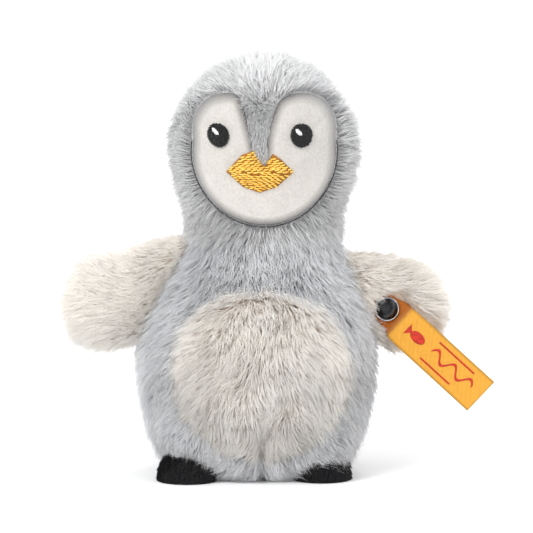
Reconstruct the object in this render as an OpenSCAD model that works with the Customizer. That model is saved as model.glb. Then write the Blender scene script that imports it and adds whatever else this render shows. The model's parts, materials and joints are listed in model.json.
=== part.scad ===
// Plush penguin chick, about 117 mm tall with its pile.
// A stuffed body and head in long grey plush, a cream belly, a velour face with
// embroidered eyes and beak, two sewn wings, two black feet, and a woven label
// that a rivet holds to the left wing.
// +Z is up, the penguin faces -Y, and the origin is on the floor under the body.

/* [Body] */
// Height of the neck, where the head bends
neck_z = 67; // [66:0.5:68]
// Fabric radius at the neck
neck_r = 17.6; // [17:0.2:18.4]
// Height of the widest part of the belly
belly_z = 27; // [25:1:29]
// Fabric radius at the widest part of the belly
belly_r = 29.2; // [28.4:0.2:29.6]
// Radius of the flat base
base_r = 14; // [13:0.5:15]
// Thickness of the long plush, backing and brushed pile together
plush = 2.8; // [2.4:0.2:3]
// Height of the middle of the belly panel
belly_panel_z = 32; // [31:0.5:33]
// Radius of the belly panel
belly_panel_r = 24; // [22:0.5:25]

/* [Head] */
// Height of the widest part of the cheeks
cheek_z = 88.5; // [87:0.5:90]
// Fabric radius at the cheeks
cheek_r = 22.1; // [21.6:0.1:22.6]
// Height of the fabric at the crown
crown_z = 112.4; // [111:0.2:114]
// Angle that the head can nod forward or back before the neck closes
nod = 10; // [6:1:10]

/* [Face] */
// Thickness of the short velour
velour = 1.5; // [1.2:0.1:1.8]
// Height of the middle of the face's round lower part
face_z = 90; // [89.6:0.2:90.4]
// Radius of the face's round lower part
face_r = 19.7; // [19.2:0.1:19.8]
// Radius of each eye lobe of the face
lobe_r = 10.2; // [9.8:0.2:10.4]
// Half the distance between the middles of the eye lobes
lobe_x = 9.5; // [9.2:0.1:9.7]
// Radius of an embroidered eye
eye_r = 3.3; // [3:0.1:3.6]
// Half the distance between the eyes
eye_x = 11.4; // [11:0.1:12]
// Half the width of the beak
beak_half_w = 9.2; // [8.8:0.1:9.6]

/* [Wings] */
// Height of the middle of a wing's seam
seam_z = 48.5; // [47:0.5:50]
// Half the length of a wing's seam
seam_half = 11; // [10:0.5:11.5]
// Length of a wing from its seam to the middle of its round tip
wing_reach = 13; // [12:0.5:14]
// Radius of a wing's round tip
wing_tip_r = 10.5; // [9.5:0.5:11]
// Half the thickness of a wing at its fullest
wing_half_t = 5.8; // [5:0.2:6]
// Angle by which a wing droops from the level
wing_droop = 8; // [4:1:12]

/* [Feet] */
// Radius of a foot
foot_r = 7.8; // [7:0.2:8.2]
// Height of a foot
foot_h = 9; // [8:0.5:10]

/* [Rivet and label] */
// Radius of the rivet's domed cap
cap_r = 3.5; // [3:0.1:3.6]
// Radius of the rivet's post
post_r = 0.9; // [0.7:0.1:1]
// Width of the label's ribbon
label_w = 11; // [10:0.5:11.5]
// Length of the label from the rivet to its free end
label_l = 35.3; // [30:0.1:36]
// Angle of the label below the level
label_drop = 42.7; // [38:0.1:48]

/* [Hidden] */
$fn = 96;

far = 80;               // reach of the solids that only cut
arc_step = 9;           // angle between the points of a computed arc
torso_steps = 12;       // points of the outline from the belly up to the neck
head_steps = 8;         // points of the outline from the neck up to the cheeks
fullness = 1.4;         // how long the belly stays full on its way up to the neck
run_gap = 0.35;         // room between bodies that move on each other
lining = 1.2;           // thickness of the base cloth, the soles and the bag's cloth

neck_ball_r = 12;       // rounded top of the body's stuffing, on which the head rocks
crease_room = 0.6;      // angle that stays open on each side at the full nod
neck_slope = nod / 2 + crease_room;     // slope of each lip of the neck crease

face_x = 1.2;           // the face sits a little to the left on this chick's head
lobe_z = face_z + 5.9;
eye_z = face_z + 5.3;
seam_w = 0.45;          // width of the thread round the face
seam_top = 1;           // height above the face's middle at which that thread ends
gusset_half_w = 7;      // half the width of the strip that runs over the crown
gusset_drop = 10;       // how far below the face's middle that strip starts
embroidery = 0.8;       // height of the eyes' stitching
glint_place = [-0.7, 0.8];      // middle of an eye's highlight, from the eye's middle
glint_slant = 25;
glint_half_l = 0.5;
glint_r = 0.75;
glint_rise = 0.4;
beak_rise = 1.5;        // height of the beak's stitching
mouth_z = face_z - 4.5;
beak_points = [
    [-1, 0], [-0.52, 4.9], [-0.18, 5.8], [0.19, 1.9], [0.38, 5.1], [0.62, 3.6],
    [1, 0], [0.5, -4.1], [0, -5.7], [-0.5, -4.1]
];
wedge_left = [[-9, 22], [-6.9, 16], [-5.2, 11], [-3.8, 6], [-2.5, 1]];
wedge_tip = [0.1, -2.9];
wedge_right = [[0.5, 1.2], [1, 6], [2.4, 10.5], [4, 14.5], [6.9, 22]];

left_foot = [17, -17.5];
right_foot = [-20, -20];
foot_cloth = 1.5;
foot_side_power = 0.6;  // below 1, the foot's sides are fuller than an ellipse's
foot_top_power = 0.8;

bag_r = 13;
bag_low = 4;
bag_high = 17;
bag_mid = 10;
pellet_r = 1.9;
pellet_pitch = 4.1;
pellet_layers = 2;
pellet_rings = 2;
pellet_room = 1.5;      // room between the outer pellets and the bag's cloth

root_r = 2;             // half the thickness of a wing at its seam
wing_cloth = 2.4;       // thickness of a wing's plush
wing_full_from = 8;     // stretch of a wing's length over which it is fullest
wing_full_to = 13;
wing_thin_at = 20;      // distance from the seam at which a wing is wing_tip_half_t thick
wing_tip_half_t = 3.4;
wing_end_half_t = 1.4;
wing_end = 25;
wing_fold_r = 32;       // radius of the crowning across a wing
seam_tilt = 22;         // lean of a wing's seam, along the side of the body
hinge_x = torso_r(seam_z) + plush + (root_r + run_gap) / cos(seam_tilt);

rivet_out = 3.3;        // rivet's place on the wing, out from the seam and along it
rivet_along = -4.8;
seat_y = 3;             // depth at which the rivet holds the ribbon and the washer
seat_r = 7.2;
dimple_r = 11;
dimple_y = 6.5;
cap_h = 1.8;
cap_side_power = 0.7;   // below 1, the cap's sides are fuller than an ellipse's
cap_top_power = 0.8;
washer_r = 3.1;
washer_t = 0.8;
bore_gap = 0.08;
ribbon = 0.5;           // thickness of the doubled ribbon
ribbon_end_r = 4.4;
ribbon_rise_from = 4.5;
ribbon_rise_to = 9.5;
ribbon_out_y = 7;

// Fabric radius of the body at height z, above the belly
function torso_r(z) =
    let (part = pow((z - belly_z) / (neck_z - belly_z), fullness))
    neck_r + (belly_r - neck_r) * (1 + cos(180 * part)) / 2;

// Half outline of the body: a quarter ellipse up to the belly, then a waisted blend
function torso_outline(grow) = concat(
    [[0, 0]],
    [for (a = [0 : arc_step : 90])
        [base_r + grow + (belly_r - base_r) * sin(a), belly_z * (1 - cos(a))]],
    [for (i = [1 : torso_steps])
        let (z = belly_z + (neck_z - belly_z) * i / torso_steps)
        [torso_r(z) + grow, z]],
    [[0, neck_z]]
);

// Half outline of the head: a blend out to the cheeks, then a quarter ellipse
function head_outline(grow) = concat(
    [[0, neck_z]],
    [for (i = [0 : head_steps - 1])
        [neck_r + grow + (cheek_r - neck_r) * (1 - cos(180 * i / head_steps)) / 2,
         neck_z + (cheek_z - neck_z) * i / head_steps]],
    [for (a = [0 : arc_step : 90 - arc_step])
        [(cheek_r + grow) * cos(a), cheek_z + (crown_z - cheek_z + grow) * sin(a)]],
    [[0, crown_z + grow]]
);

// Half outline of a foot: a dome with full sides
function foot_outline(inset) = concat(
    [[0, 0]],
    [for (a = [0 : arc_step : 90 - arc_step])
        [(foot_r - inset) * pow(cos(a), foot_side_power),
         (foot_h - inset) * pow(sin(a), foot_top_power)]],
    [[0, foot_h - inset]]
);

// Crease round the neck, as the gap between two cones that meet at its middle
module neck_crease() {
    reach = belly_r + plush;
    lip = reach * tan(neck_slope);
    polygon([[0, neck_z], [reach, neck_z + lip], [reach, neck_z - lip]]);
}

// Rounded neck of the stuffing, as a half disc
module neck_ball(grow) {
    intersection() {
        translate([0, neck_z]) circle(neck_ball_r + grow);
        square([far, far * 2]);
    }
}

module torso_space(grow) {
    rotate_extrude() polygon(torso_outline(grow));
}

module torso_plush() {
    rotate_extrude()
        difference() {
            polygon(torso_outline(plush));
            polygon(torso_outline(0));
            neck_crease();
        }
}

// Layer of the head between two heights above its fabric
module head_layer(low, high) {
    rotate_extrude()
        difference() {
            polygon(head_outline(high));
            polygon(head_outline(low));
            neck_crease();
        }
}

// Carries a flat outline through the front half of the object
module through_front() {
    rotate([90, 0, 0]) linear_extrude(height = far) children();
}

module half_space(side_x, side_y) {
    size = 2 * far;
    x = side_x == 0 ? -far : (side_x > 0 ? 0 : -size);
    y = side_y > 0 ? 0 : -size;
    translate([x, y, -1]) cube([size, size, size]);
}

// ---- Body ----

module belly_outline() {
    translate([0, belly_panel_z]) circle(belly_panel_r);
}

module chest_panel() {
    color([0.76, 0.77, 0.79])
        difference() {
            intersection() {
                torso_plush();
                half_space(0, -1);
            }
            through_front() belly_outline();
        }
}

module belly_panel() {
    color([0.94, 0.92, 0.88])
        intersection() {
            torso_plush();
            through_front() belly_outline();
        }
}

module back_panel(side) {
    color([0.76, 0.77, 0.79])
        intersection() {
            torso_plush();
            half_space(side, 1);
        }
}

module base_panel() {
    color([0.68, 0.69, 0.71]) cylinder(h = lining, r = base_r);
}

module bag_space(inset) {
    intersection() {
        translate([0, 0, bag_mid]) sphere(bag_r - inset);
        translate([0, 0, bag_low + inset]) cylinder(h = bag_high - bag_low - 2 * inset, r = far);
    }
}

module body_stuffing() {
    color([0.97, 0.97, 0.96])
        difference() {
            rotate_extrude()
                union() {
                    difference() {
                        polygon(torso_outline(0));
                        square([base_r, lining]);
                        neck_crease();
                    }
                    neck_ball(0);
                }
            bag_space(0);
        }
}

module pellet_bag() {
    color([0.9, 0.88, 0.82])
        difference() {
            bag_space(0);
            bag_space(lining);
        }
}

module pellets() {
    first_z = bag_low + lining + pellet_r;
    rings_r = bag_r - lining - pellet_r - pellet_room;
    color([0.85, 0.87, 0.9])
        for (layer = [0 : pellet_layers - 1])
            for (i = [-pellet_rings : pellet_rings], j = [-pellet_rings : pellet_rings])
                if (norm([i, j]) * pellet_pitch < rings_r)
                    translate([i * pellet_pitch, j * pellet_pitch, first_z + layer * pellet_pitch])
                        sphere(pellet_r);
}

// ---- Feet ----

module foot_space(place, inset) {
    translate([place.x, place.y, 0]) rotate_extrude() polygon(foot_outline(inset));
}

module floor_slice(h) {
    translate([-far, -far, 0]) cube([2 * far, 2 * far, h]);
}

module foot_upper(place) {
    color([0.07, 0.07, 0.08])
        difference() {
            foot_space(place, 0);
            foot_space(place, foot_cloth);
            floor_slice(lining);
            torso_space(plush);
        }
}

module foot_sole(place) {
    color([0.1, 0.1, 0.1])
        difference() {
            intersection() {
                foot_space(place, 0);
                floor_slice(lining);
            }
            torso_space(plush);
        }
}

module foot_stuffing(place) {
    color([0.97, 0.97, 0.96])
        difference() {
            foot_space(place, foot_cloth);
            floor_slice(lining);
            torso_space(plush);
        }
}

// ---- Head ----

// Tip of the crown's plush between the eye lobes, drawn in by grow on each side
module wedge_outline(grow) {
    translate([face_x, face_z])
        polygon(concat(
            [for (p = wedge_left) [p.x + grow, p.y]],
            [[wedge_tip.x, wedge_tip.y + 2 * grow]],
            [for (p = wedge_right) [p.x - grow, p.y]]
        ));
}

// Owl mask: two eye lobes over a round chin, parted by the crown's wedge
module face_outline(grow) {
    difference() {
        union() {
            for (side = [-1, 1])
                translate([face_x + side * lobe_x, lobe_z]) circle(lobe_r + grow);
            intersection() {
                translate([face_x, face_z]) circle(face_r + grow);
                translate([-far, 0]) square([2 * far, lobe_z]);
            }
        }
        wedge_outline(grow);
    }
}

// In front, the strip ends in the wedge between the eye lobes; behind, it reaches the neck
module crown_gusset_space() {
    low_x = face_x - gusset_half_w;
    width = 2 * gusset_half_w;
    translate([low_x, -far, face_z - gusset_drop]) cube([width, far, far]);
    translate([low_x, 0, 0]) cube([width, far, 2 * far]);
}

module crown_gusset() {
    color([0.86, 0.86, 0.87])
        difference() {
            intersection() {
                head_layer(0, plush);
                crown_gusset_space();
            }
            through_front() face_outline(seam_w);
        }
}

module head_panel(side) {
    color([0.78, 0.79, 0.81])
        difference() {
            intersection() {
                head_layer(0, plush);
                union() {
                    half_space(side, 1);
                    half_space(side, -1);
                }
            }
            crown_gusset_space();
            through_front() face_outline(seam_w);
        }
}

module face_panel() {
    color([0.93, 0.91, 0.88])
        intersection() {
            head_layer(0, velour);
            through_front() face_outline(0);
        }
}

// Thread that shows along the chin and the cheeks, below the eye lobes
module face_seam() {
    color([0.35, 0.34, 0.35])
        intersection() {
            head_layer(0, velour);
            through_front()
                translate([face_x, face_z])
                    difference() {
                        circle(face_r + seam_w);
                        circle(face_r);
                        translate([-far, seam_top]) square([2 * far, far]);
                    }
        }
}

// The wedge's tip lies in a notch between the beak's two peaks
module beak() {
    color([0.93, 0.68, 0.18])
        difference() {
            intersection() {
                head_layer(velour, velour + beak_rise);
                through_front()
                    translate([0, mouth_z])
                        polygon([for (p = beak_points) [p.x * beak_half_w, p.y]]);
            }
            through_front() wedge_outline(0);
        }
}

module eye(side) {
    color([0.05, 0.05, 0.06])
        intersection() {
            head_layer(velour, velour + embroidery);
            through_front() translate([side * eye_x, eye_z]) circle(eye_r);
        }
}

// Slanted highlight stitch, up and to one side of the eye's middle
module eye_glint(side) {
    color([0.98, 0.98, 0.98])
        intersection() {
            head_layer(velour + embroidery, velour + embroidery + glint_rise);
            through_front()
                translate([side * eye_x, eye_z] + glint_place)
                    rotate(glint_slant)
                        for (end = [-1, 1])
                            translate([0, end * glint_half_l]) circle(glint_r);
        }
}

module head_stuffing() {
    color([0.97, 0.97, 0.96])
        rotate_extrude()
            difference() {
                polygon(head_outline(0));
                neck_crease();
                neck_ball(run_gap);
            }
}

// ---- Wings ----
// A wing is drawn with its seam on the Z axis and its tip towards +X.

module on_left_side() {
    translate([hinge_x, 0, seam_z]) rotate([0, -seam_tilt, 0]) children();
}

// Mitten outline, as far as inset inside the wing's edge
module wing_outline(inset) {
    slant = wing_droop + seam_tilt;
    tip = wing_reach * [cos(slant), -sin(slant)];
    polygon(concat(
        [[inset - root_r, inset - seam_half]],
        [for (a = [-90 : arc_step : 90])
            tip + (wing_tip_r - inset) * [cos(a - slant), sin(a - slant)]],
        [[inset - root_r, seam_half - inset]]
    ));
}

// Thickness of a wing along its length: round at the seam, full in the middle
module wing_section(inset) {
    half = wing_half_t - inset;
    tip_half = wing_tip_half_t - inset / 2;
    end_half = wing_end_half_t - inset / 2;
    root = root_r - inset / 2;
    polygon(concat(
        [[wing_full_from, -half], [wing_full_to, -half]],
        [[wing_thin_at, -tip_half], [wing_end, -end_half]],
        [[wing_end, end_half], [wing_thin_at, tip_half]],
        [[wing_full_to, half], [wing_full_from, half]],
        [for (a = [90 : arc_step * 2 : 270]) [inset + root * cos(a), root * sin(a)]]
    ));
}

// Both sides are crowned from the wing's upper edge to its lower edge
module wing_space(inset) {
    crown_y = wing_fold_r - wing_half_t;
    intersection() {
        rotate([90, 0, 0])
            linear_extrude(height = 4 * wing_half_t, center = true) wing_outline(inset);
        translate([0, 0, -far / 2]) linear_extrude(height = far) wing_section(inset);
        for (side = [-1, 1])
            translate([wing_reach / 2, side * crown_y, -wing_reach / 4])
                rotate([0, 90, 0])
                    cylinder(h = far, r = wing_fold_r - inset, center = true);
    }
}

module at_rivet() {
    translate([rivet_out, 0, rivet_along]) rotate([90, 0, 0]) children();
}

// Flattened pile round the rivet, where the ribbon lies in front and the washer behind
module rivet_dimple() {
    at_rivet() {
        translate([0, 0, seat_y]) cylinder(h = far, r = seat_r);
        translate([0, 0, seat_y])
            cylinder(h = dimple_y - seat_y, r1 = seat_r, r2 = dimple_r);
        translate([0, 0, -far - seat_y]) cylinder(h = far, r = washer_r + run_gap);
        cylinder(h = far, r = post_r + bore_gap, center = true);
    }
}

// One of a wing's two layers of plush, in front of its middle or behind it
module wing_layer(front) {
    color([0.95, 0.93, 0.9])
        difference() {
            wing_space(0);
            wing_space(wing_cloth);
            translate([-far, front ? 0 : -far, -far]) cube([2 * far, far, 2 * far]);
        }
}

module wing_fill() {
    color([0.97, 0.97, 0.96]) wing_space(wing_cloth);
}

// The left wing's pieces are pierced for the rivet
module left_wing() {
    on_left_side()
        difference() {
            children();
            rivet_dimple();
        }
}

module right_wing() {
    mirror([1, 0, 0]) on_left_side() children();
}

// ---- Rivet and label ----

module rivet_cap() {
    underside = seat_y + ribbon;
    color([0.25, 0.25, 0.27])
        on_left_side() at_rivet() {
            rotate_extrude()
                polygon(concat(
                    [[0, underside]],
                    [for (a = [0 : arc_step : 90 - arc_step])
                        [cap_r * pow(cos(a), cap_side_power),
                         underside + cap_h * pow(sin(a), cap_top_power)]],
                    [[0, underside + cap_h]]
                ));
            translate([0, 0, -seat_y - washer_t])
                cylinder(h = 2 * seat_y + washer_t + ribbon, r = post_r);
        }
}

module rivet_washer() {
    color([0.6, 0.6, 0.62])
        on_left_side() at_rivet()
            translate([0, 0, -seat_y - washer_t])
                difference() {
                    cylinder(h = washer_t, r = washer_r);
                    cylinder(h = washer_t * 3, r = post_r, center = true);
                }
}

// Side view of the ribbon: flat under the rivet, then up over the pile and out
module ribbon_side() {
    polygon([
        [-ribbon_end_r, seat_y], [ribbon_rise_from, seat_y],
        [ribbon_rise_to, ribbon_out_y], [label_l, ribbon_out_y],
        [label_l, ribbon_out_y + ribbon], [ribbon_rise_to, ribbon_out_y + ribbon],
        [ribbon_rise_from, seat_y + ribbon], [-ribbon_end_r, seat_y + ribbon]
    ]);
}

// Front view of the ribbon: its gathered end round the rivet, then its full width
module ribbon_front() {
    polygon(concat(
        [for (a = [90 : arc_step : 270]) ribbon_end_r * [cos(a), sin(a)]],
        [[ribbon_rise_from, -label_w / 2], [label_l, -label_w / 2]],
        [[label_l, label_w / 2], [ribbon_rise_from, label_w / 2]]
    ));
}

module label() {
    color([0.96, 0.72, 0.2])
        on_left_side() at_rivet()
            rotate(-label_drop - seam_tilt)
                difference() {
                    intersection() {
                        linear_extrude(height = 2 * ribbon_out_y) ribbon_front();
                        rotate([90, 0, 0])
                            linear_extrude(height = 2 * label_w, center = true) ribbon_side();
                    }
                    cylinder(h = far, r = post_r + bore_gap, center = true);
                }
}

chest_panel();
belly_panel();
back_panel(1);  // left_back_panel
back_panel(-1);  // right_back_panel
base_panel();
body_stuffing();
pellet_bag();
pellets();
foot_upper(left_foot);  // left_foot_upper
foot_sole(left_foot);  // left_foot_sole
foot_stuffing(left_foot);  // left_foot_stuffing
foot_upper(right_foot);  // right_foot_upper
foot_sole(right_foot);  // right_foot_sole
foot_stuffing(right_foot);  // right_foot_stuffing
crown_gusset();
head_panel(1);  // left_head_panel
head_panel(-1);  // right_head_panel
head_stuffing();
face_panel();
face_seam();
beak();
eye(1);  // left_eye
eye(-1);  // right_eye
eye_glint(1);  // left_eye_glint
eye_glint(-1);  // right_eye_glint
left_wing() wing_layer(front = true);  // left_wing_front
left_wing() wing_layer(front = false);  // left_wing_back
left_wing() wing_fill();  // left_wing_stuffing
right_wing() wing_layer(front = true);  // right_wing_front
right_wing() wing_layer(front = false);  // right_wing_back
right_wing() wing_fill();  // right_wing_stuffing
rivet_cap();
rivet_washer();
label();
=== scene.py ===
"""Plush penguin chick: pile, velour, embroidery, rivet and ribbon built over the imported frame.

Lengths are in millimetres until a mesh is made, and the penguin faces -Y.
"""

import json
import math

import bpy
import numpy as np
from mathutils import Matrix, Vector, geometry, kdtree


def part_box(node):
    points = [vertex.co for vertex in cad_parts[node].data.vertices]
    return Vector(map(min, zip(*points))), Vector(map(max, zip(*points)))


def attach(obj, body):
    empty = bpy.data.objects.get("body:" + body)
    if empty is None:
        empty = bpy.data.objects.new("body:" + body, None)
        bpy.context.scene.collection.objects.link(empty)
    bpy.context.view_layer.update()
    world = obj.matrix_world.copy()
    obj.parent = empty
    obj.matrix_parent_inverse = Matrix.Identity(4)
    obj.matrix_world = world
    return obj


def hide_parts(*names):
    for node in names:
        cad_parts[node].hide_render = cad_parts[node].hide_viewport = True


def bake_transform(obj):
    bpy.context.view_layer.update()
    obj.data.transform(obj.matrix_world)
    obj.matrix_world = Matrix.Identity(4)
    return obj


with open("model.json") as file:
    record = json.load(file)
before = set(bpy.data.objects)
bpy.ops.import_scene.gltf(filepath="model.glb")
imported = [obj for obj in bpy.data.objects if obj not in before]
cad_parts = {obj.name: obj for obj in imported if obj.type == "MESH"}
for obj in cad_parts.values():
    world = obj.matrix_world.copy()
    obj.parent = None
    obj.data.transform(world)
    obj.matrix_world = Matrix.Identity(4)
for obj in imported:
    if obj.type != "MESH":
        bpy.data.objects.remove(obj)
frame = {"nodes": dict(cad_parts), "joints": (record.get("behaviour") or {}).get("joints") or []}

MM = 0.001
TAU = 2 * math.pi

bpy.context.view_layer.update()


def box_mm(node):
    """Lowest and highest corner of a CAD node, in millimetres."""
    low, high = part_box(node)
    return np.array(low) / MM, np.array(high) / MM


def joint_place(name):
    """Point and axis of a joint, in millimetres."""
    joint = next(j for j in frame["joints"] if j["name"] == name)
    return np.array(joint["pos_m"]) / MM, np.array(joint["axis"])


def srgb(red, green, blue):
    """Linear colour of 0 to 255 display values."""
    shares = np.array([red, green, blue]) / 255
    linear = np.where(shares <= 0.04045, shares / 12.92, ((shares + 0.055) / 1.055) ** 2.4)
    return (*linear.tolist(), 1.0)


# ---- Sizes, from the frame where it holds them ----

PLUSH = 2.8                     # CAD's thickness of backing and pile
VELOUR = 1.5                    # thickness of the face
BACKING = 0.7                   # thickness of the plush's knitted backing
THICK_BACKING = 0.8             # and of the wings' and the feet's
BELLY_Z = 27
BELLY_PANEL = np.array([0.6, 31])
BELLY_PANEL_R = 22.2
CHEEK_Z = 88.5
FULLNESS = 1.4                  # how long the belly stays full on its way up to the neck

NECK_Z = joint_place("head_nod")[0][2]
BASE_R = box_mm("base_panel")[1][0]
BELLY_R = box_mm("chest_panel")[1][0] - PLUSH
CHEEK_R = box_mm("left_head_panel")[1][0] - PLUSH
NECK_R = 17.6
CROWN_Z = box_mm("head_stuffing")[1][2]

FACE_X = 1.2
FACE_R = 19.7
FACE_Z = box_mm("face_panel")[0][2] + FACE_R
LOBE_R = 10.2
LOBE_X = 9.5
LOBE_Z = FACE_Z + 5.9
WEDGE_TIP = [0.1, -2.9]
WEDGE_LEFT = [[-2.5, 1], [-3.8, 6], [-5.2, 11], [-6.9, 16], [-9, 22]]
WEDGE_RIGHT = [[0.5, 1.2], [1, 6], [2.4, 10.5], [4, 14.5], [6.9, 22]]
WEDGE_LOW = FACE_Z - 10         # the crown reaches no lower than this at the front
GUSSET_HALF = 7

MOUTH_Z = FACE_Z - 4.5
BEAK_HALF = (box_mm("beak")[1][0] - box_mm("beak")[0][0]) / 2
BEAK = [
    [-1, 0], [-0.52, 4.9], [-0.18, 5.8], [0.14, 1.6], [0.38, 5.1], [0.62, 3.6],
    [1, 0], [0.5, -4.1], [0, -5.7], [-0.5, -4.1]
]

FOOT_R = 7.8


def foot_place(side, sole):
    """Middle of a foot on the floor, from the sole's outer and front edges."""
    low, high = box_mm(sole)
    return np.array([high[0] - FOOT_R if side > 0 else low[0] + FOOT_R, low[1] + FOOT_R])


FEET = {"left": foot_place(1, "left_foot_sole"), "right": foot_place(-1, "right_foot_sole")}

LEAN_LOW = -1.1                 # the body stands a little to the right of the head
LEAN_HIGH = 1.1


def lean(height):
    """Sideways lean of the stuffed form at a height."""
    share = np.clip((height - 24) / 40, 0, 1)
    return LEAN_LOW + (LEAN_HIGH - LEAN_LOW) * share * share * (3 - 2 * share)


# ---- Meshes ----

def unit(vectors):
    return vectors / np.maximum(np.linalg.norm(vectors, axis=-1, keepdims=True), 1e-9)


def vertex_normals(points, triangles):
    """Area-weighted normals of a triangle mesh."""
    corners = points[triangles]
    areas = np.cross(corners[:, 1] - corners[:, 0], corners[:, 2] - corners[:, 0])
    normals = np.zeros_like(points)
    for corner in range(3):
        np.add.at(normals, triangles[:, corner], areas)
    return unit(normals)


def close_sheet(top, bottom, triangles):
    """Closed shell from a sheet's outer and inner points and its triangles."""
    edges = np.concatenate([triangles[:, [0, 1]], triangles[:, [1, 2]], triangles[:, [2, 0]]])
    taken = {(a, b) for a, b in edges.tolist()}
    rim = np.array([[a, b] for a, b in edges.tolist() if (b, a) not in taken])
    below = len(top)
    walls = np.concatenate([
        np.stack([rim[:, 1], rim[:, 0], rim[:, 0] + below], axis=1),
        np.stack([rim[:, 1], rim[:, 0] + below, rim[:, 1] + below], axis=1),
    ]) if len(rim) else np.zeros((0, 3), int)
    faces = np.concatenate([triangles, triangles[:, ::-1] + below, walls])
    return drop_loose(np.concatenate([top, bottom]), faces)


def drop_loose(points, triangles):
    """The same mesh without the points that no triangle uses."""
    used = np.unique(triangles)
    place = np.zeros(len(points), int)
    place[used] = np.arange(len(used))
    return points[used], place[triangles]


def make_object(name, points, triangles, material):
    """New smooth object from points in millimetres."""
    mesh = bpy.data.meshes.new(name)
    mesh.vertices.add(len(points))
    mesh.vertices.foreach_set("co", (points * MM).astype(np.float32).ravel())
    mesh.loops.add(triangles.size)
    mesh.loops.foreach_set("vertex_index", triangles.astype(np.int32).ravel())
    mesh.polygons.add(len(triangles))
    mesh.polygons.foreach_set("loop_start", np.arange(0, triangles.size, 3, dtype=np.int32))
    mesh.update(calc_edges=True)
    mesh.shade_smooth()
    mesh.materials.append(material)
    piece = bpy.data.objects.new(name, mesh)
    bpy.context.scene.collection.objects.link(piece)
    return piece


def rides(piece, slot, body, *nodes):
    """Gives a piece its body and hides the CAD nodes that it replaces."""
    if nodes:
        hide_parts(*nodes)
    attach(piece, body)


def add_values(piece, name, values):
    """Four values for each point, which the materials read."""
    attribute = piece.data.attributes.new(name, "FLOAT_COLOR", "POINT")
    attribute.data.foreach_set("color", values.astype(np.float32).ravel())


def join(parts):
    """One mesh from several (points, triangles)."""
    starts = np.cumsum([0] + [len(points) for points, _ in parts[:-1]])
    points = np.concatenate([points for points, _ in parts])
    return points, np.concatenate([faces + start for (_, faces), start in zip(parts, starts)])


def tubes(paths, radii, sides=6, pointed=False):
    """Closed tubes along paths (tube, station, xyz), with a radius for each tube and station."""
    count, stations = paths.shape[:2]
    rings = stations - 1 if pointed else stations
    along = unit(paths[:, -1] - paths[:, 0])
    level = np.where(np.abs(along[:, 2:]) > 0.9, [[1.0, 0, 0]], [[0, 0, 1.0]])
    across = unit(np.cross(along, level))
    up = np.cross(along, across)
    turns = TAU * np.arange(sides) / sides
    spokes = (np.cos(turns)[None, :, None] * across[:, None]
              + np.sin(turns)[None, :, None] * up[:, None])
    points = paths[:, :rings, None] + radii[:, :rings, None, None] * spokes[:, None]
    points = points.reshape(count, rings * sides, 3)
    faces = [[0, side, side + 1] for side in range(1, sides - 1)]
    for ring in range(rings - 1):
        for side in range(sides):
            a, b = ring * sides + side, ring * sides + (side + 1) % sides
            faces += [[a, a + sides, b], [b, a + sides, b + sides]]
    last = (rings - 1) * sides
    if pointed:
        points = np.concatenate([points, paths[:, -1:]], axis=1)
        tip = rings * sides
        faces += [[last + side, tip, last + (side + 1) % sides] for side in range(sides)]
    else:
        faces += [[last, last + side + 1, last + side] for side in range(1, sides - 1)]
    size = points.shape[1]
    triangles = np.array(faces)[None] + size * np.arange(count)[:, None, None]
    return points.reshape(-1, 3), triangles.reshape(-1, 3)


# ---- Flat outlines ----

def inside(outline, points):
    """True for each flat point that lies inside a closed outline."""
    x, y = points[:, 0:1], points[:, 1:2]
    x0, y0 = outline.T
    x1, y1 = np.roll(outline, -1, axis=0).T
    rise = np.where(y1 == y0, 1e-9, y1 - y0)
    crossed = ((y0 > y) != (y1 > y)) & (x < (x1 - x0) * (y - y0) / rise + x0)
    return crossed.sum(axis=1) % 2 == 1


def edge_distance(outline, points):
    """Distance of each flat point from a closed outline."""
    start, span = outline, np.roll(outline, -1, axis=0) - outline
    away = points[:, None] - start[None]
    share = (away * span).sum(-1) / np.maximum((span * span).sum(-1), 1e-12)
    gaps = away - np.clip(share, 0, 1)[..., None] * span
    return np.sqrt((gaps * gaps).sum(-1).min(axis=1))


def resample(line, step, closed=False):
    """Points at an even step along a line."""
    line = np.array(line, float)
    if closed:
        line = np.concatenate([line, line[:1]])
    lengths = np.concatenate([[0], np.cumsum(np.linalg.norm(np.diff(line, axis=0), axis=1))])
    count = max(int(round(lengths[-1] / step)), 2)
    places = np.linspace(0, lengths[-1], count + 1)
    if closed:
        places = places[:-1]
    return np.stack([np.interp(places, lengths, line[:, i]) for i in range(line.shape[1])], axis=1)


def patch(outline, step):
    """Flat points and triangles that fill a closed outline evenly."""
    edge = resample(outline, step, closed=True)
    low, high = edge.min(axis=0), edge.max(axis=0)
    rows = np.arange(low[1], high[1], step * 0.87)
    columns = np.arange(low[0], high[0], step)
    x, y = np.meshgrid(columns, rows)
    x = x + np.where(np.arange(len(rows)) % 2, step / 2, 0)[:, None]
    inner = np.stack([x.ravel(), y.ravel()], axis=1)
    inner = inner[inside(edge, inner)]
    inner = inner[edge_distance(edge, inner) > step * 0.6]
    flat = np.concatenate([edge, inner])
    ring = [(i, (i + 1) % len(edge)) for i in range(len(edge))]
    found = geometry.delaunay_2d_cdt([Vector(p) for p in flat], ring, [], 0, 1e-6)
    points = np.array([tuple(p) for p in found[0]])
    triangles = np.array([tuple(face) for face in found[2]])
    middles = points[triangles].mean(axis=1)
    triangles = triangles[inside(edge, middles)]
    a, b, c = (points[triangles[:, i]] for i in range(3))
    area = (b - a)[:, 0] * (c - a)[:, 1] - (b - a)[:, 1] * (c - a)[:, 0]
    triangles[area < 0] = triangles[area < 0][:, ::-1]
    return points, triangles


def smooth(values):
    """Smooth step of values held between 0 and 1."""
    share = np.clip(values, 0, 1)
    return share * share * (3 - 2 * share)


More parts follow.
